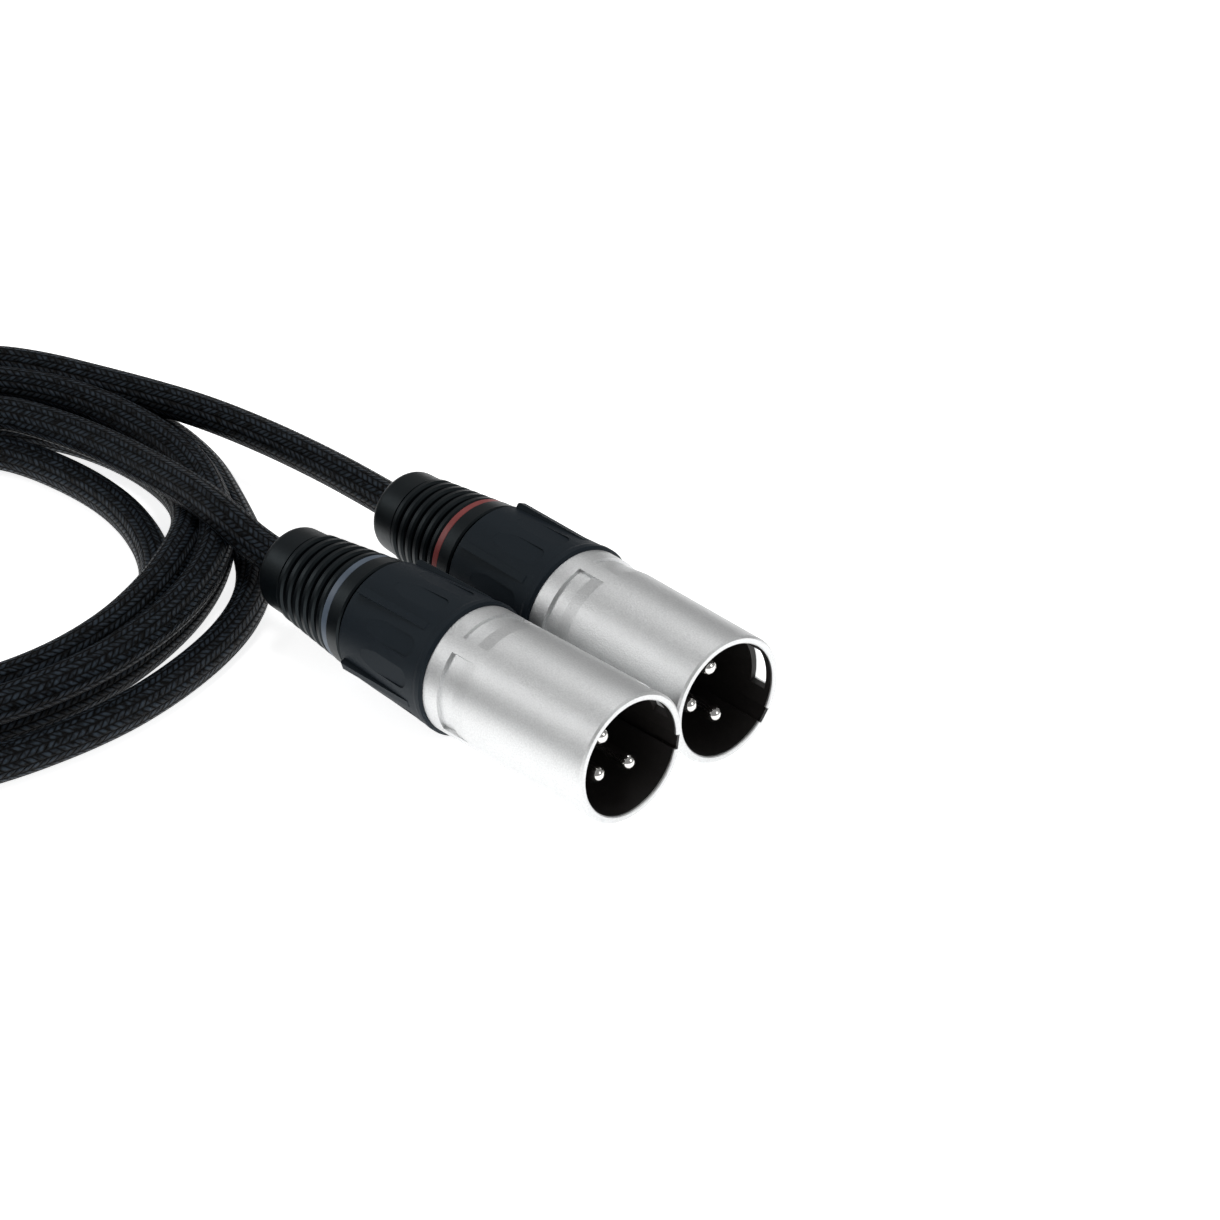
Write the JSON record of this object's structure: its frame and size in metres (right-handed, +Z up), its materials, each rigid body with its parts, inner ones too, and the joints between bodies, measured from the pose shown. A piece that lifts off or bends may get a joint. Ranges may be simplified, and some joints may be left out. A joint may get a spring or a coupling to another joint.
{
  "type": "xlr cable coil",
  "caption": "Coiled stereo pair of black braided microphone cables with male and female three-pole connectors, ribbed boots, coding rings and spring latches.",
  "frame": {"origin": "centre of the rectangle around the four connectors, on the surface the object lies on; the loose cable and its coil are not counted", "axes": "+X the way all four connectors point, +Y from the female pair to the male pair, +Z up"},
  "size_m": [0.1732, 0.176, 0.0203],
  "materials": {
    "shell_metal": "satin nickel plate",
    "contact_metal": "polished",
    "socket_metal": "gold plate",
    "latch_metal": "satin",
    "insert_plastic": "matt",
    "clamp_plastic": "matt",
    "nut_plastic": "fine matt",
    "boot_rubber": "satin",
    "ring_grey": "satin",
    "ring_red": "satin",
    "cable_sleeve": "braided"
  },
  "bodies": {
    "cables": {"male_a_shell": "shell_metal", "male_a_insert": "insert_plastic", "male_a_pins": "contact_metal", "male_a_ground_spring": "contact_metal", "male_a_clamp": "clamp_plastic", "male_a_cable_end": "cable_sleeve", "male_a_nut": "nut_plastic", "male_a_boot": "boot_rubber", "male_a_colour_ring": "ring_grey", "female_a_shell": "shell_metal", "female_a_insert": "insert_plastic", "female_a_sockets": "socket_metal", "female_a_latch_pin": "contact_metal", "female_a_latch_spring": "contact_metal", "female_a_clamp": "clamp_plastic", "female_a_cable_end": "cable_sleeve", "female_a_nut": "nut_plastic", "female_a_boot": "boot_rubber", "female_a_colour_ring": "ring_grey", "male_b_shell": "shell_metal", "male_b_insert": "insert_plastic", "male_b_pins": "contact_metal", "male_b_ground_spring": "contact_metal", "male_b_clamp": "clamp_plastic", "male_b_cable_end": "cable_sleeve", "male_b_nut": "nut_plastic", "male_b_boot": "boot_rubber", "male_b_colour_ring": "ring_red", "female_b_shell": "shell_metal", "female_b_insert": "insert_plastic", "female_b_sockets": "socket_metal", "female_b_latch_pin": "contact_metal", "female_b_latch_spring": "contact_metal", "female_b_clamp": "clamp_plastic", "female_b_cable_end": "cable_sleeve", "female_b_nut": "nut_plastic", "female_b_boot": "boot_rubber", "female_b_colour_ring": "ring_red", "cable_coil": "cable_sleeve", "cable_a_lead": "cable_sleeve", "cable_b_lead": "cable_sleeve", "cable_a_tail": "cable_sleeve", "cable_b_tail": "cable_sleeve"},
    "latch_a": {"female_a_latch": "latch_metal"},
    "latch_b": {"female_b_latch": "latch_metal"}
  },
  "joints": [
    {"name": "latch_a_press", "type": "hinge", "parent": "cables", "child": "latch_a", "pos_m": [-0.01105, -0.0567, 0.0149], "axis": [0, 1, 0], "range_deg": [0, 4], "stiffness_Nm_per_rad": 0.5, "springref_deg": -1.72, "deforming": ["female_a_latch_spring"]},
    {"name": "latch_b_press", "type": "hinge", "parent": "cables", "child": "latch_b", "pos_m": [-0.01105, -0.0779, 0.0149], "axis": [0, 1, 0], "range_deg": [0, 4], "stiffness_Nm_per_rad": 0.5, "springref_deg": -1.72, "deforming": ["female_b_latch_spring"]}
  ]
}
